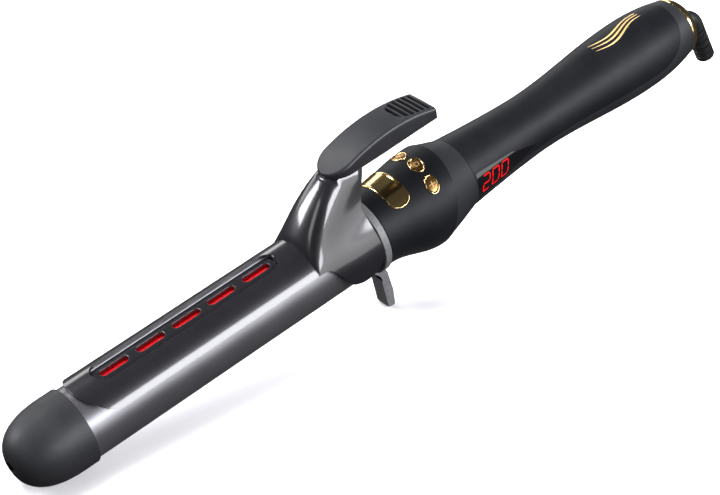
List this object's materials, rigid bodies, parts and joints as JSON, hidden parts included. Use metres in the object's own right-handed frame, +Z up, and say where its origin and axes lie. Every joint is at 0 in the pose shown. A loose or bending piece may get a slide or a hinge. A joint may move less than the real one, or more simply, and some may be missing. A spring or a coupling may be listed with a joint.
{
  "type": "curling iron",
  "caption": "Curling iron with a coated barrel, spring clip with a slotted window, thumb lever, folding rest, push buttons, side display and a bent swivelling cord guard.",
  "frame": {"origin": "the middle of the whole iron's outline, on the surface it rests on", "axes": "+X along the iron from the cool tip to the handle, tipped up towards the handle by the rest; -Y the side of the display; +Z up, the side of the clip and the lever"},
  "size_m": [0.4042, 0.0444, 0.0951],
  "materials": {
    "tip_plastic": "fine matte",
    "barrel_metal": "glossy dark grey coating",
    "clip_black": "glossy black",
    "black_gloss": "polished",
    "red_filter": "deep red",
    "cover_plastic": "matte",
    "rest_plastic": "fine grain",
    "soft_black": "soft touch",
    "shell_grey": "matte",
    "gold_metal": "polished",
    "bronze_key": "satin",
    "steel": "plain",
    "bearing": "plain",
    "alloy": "cast",
    "ceramic": "white",
    "mica": "film",
    "board_green": "solder mask",
    "electronics": "moulded",
    "lead_red": "sleeved",
    "display_red": "lit red digits behind the pane",
    "guard_black": "ribbed"
  },
  "bodies": {
    "iron": {"cool_tip": "tip_plastic", "tip_screw": "steel", "barrel_tube": "barrel_metal", "window_panel": "black_gloss", "ir_lens": "red_filter", "ir_lamps": "board_green", "heater_core_upper": "alloy", "heater_core_lower": "alloy", "heater_plates": "ceramic", "mica_wrap": "mica", "heat_sensor": "ceramic", "thermal_fuse": "steel", "hinge_pin": "steel", "barrel_bush": "electronics", "collar": "soft_black", "trim_band": "gold_metal", "button_frames": "gold_metal", "button_board": "board_green", "switch_domes": "electronics", "handle_upper": "soft_black", "handle_lower": "shell_grey", "handle_screws": "steel", "display_lens": "black_gloss", "display_module": "display_red", "main_board": "board_green", "power_parts": "electronics", "heater_leads": "lead_red", "end_bulkhead": "electronics", "end_ring": "gold_metal", "slip_contacts": "bearing", "handle_ornament": "gold_metal"},
    "clip": {"clip_plate": "clip_black", "clip_neck": "clip_black", "lever_tongue": "clip_black", "lever_cover": "cover_plastic", "lever_screws": "steel", "pivot_bushes": "bearing", "hinge_spring": "steel"},
    "rest": {"rest": "rest_plastic"},
    "button_minus": {"button_minus": "bronze_key"},
    "button_power": {"button_power": "bronze_key"},
    "button_plus": {"button_plus": "bronze_key"},
    "cord_swivel": {"swivel_core": "electronics", "cord_guard": "guard_black"}
  },
  "joints": [
    {"name": "clip_hinge", "type": "hinge", "parent": "iron", "child": "clip", "pos_m": [-0.03568, 0, 0.04681], "axis": [0, 1, 0], "range_deg": [0, 9], "stiffness_Nm_per_rad": 0.7, "springref_deg": -28.65},
    {"name": "rest_swivel", "type": "hinge", "parent": "iron", "child": "rest", "pos_m": [-0.02116, 0, 0.04199], "axis": [0.988, 0, 0.1543], "range_deg": [-90, 90]},
    {"name": "press_minus", "type": "slide", "parent": "iron", "child": "button_minus", "axis": [0.144, -0.3584, -0.9224], "range_m": [0, 0.0006], "stiffness_N_per_m": 2500, "springref_m": -0.0005},
    {"name": "press_power", "type": "slide", "parent": "iron", "child": "button_power", "axis": [0.1519, 0.1736, -0.973], "range_m": [0, 0.0006], "stiffness_N_per_m": 2500, "springref_m": -0.0005},
    {"name": "press_plus", "type": "slide", "parent": "iron", "child": "button_plus", "axis": [0.1164, 0.6561, -0.7457], "range_m": [0, 0.0006], "stiffness_N_per_m": 2500, "springref_m": -0.0005},
    {"name": "cord_swivel", "type": "hinge", "parent": "iron", "child": "cord_swivel", "pos_m": [0.1717, 0, 0.07211], "axis": [0.988, 0, 0.1543], "continuous": true}
  ]
}
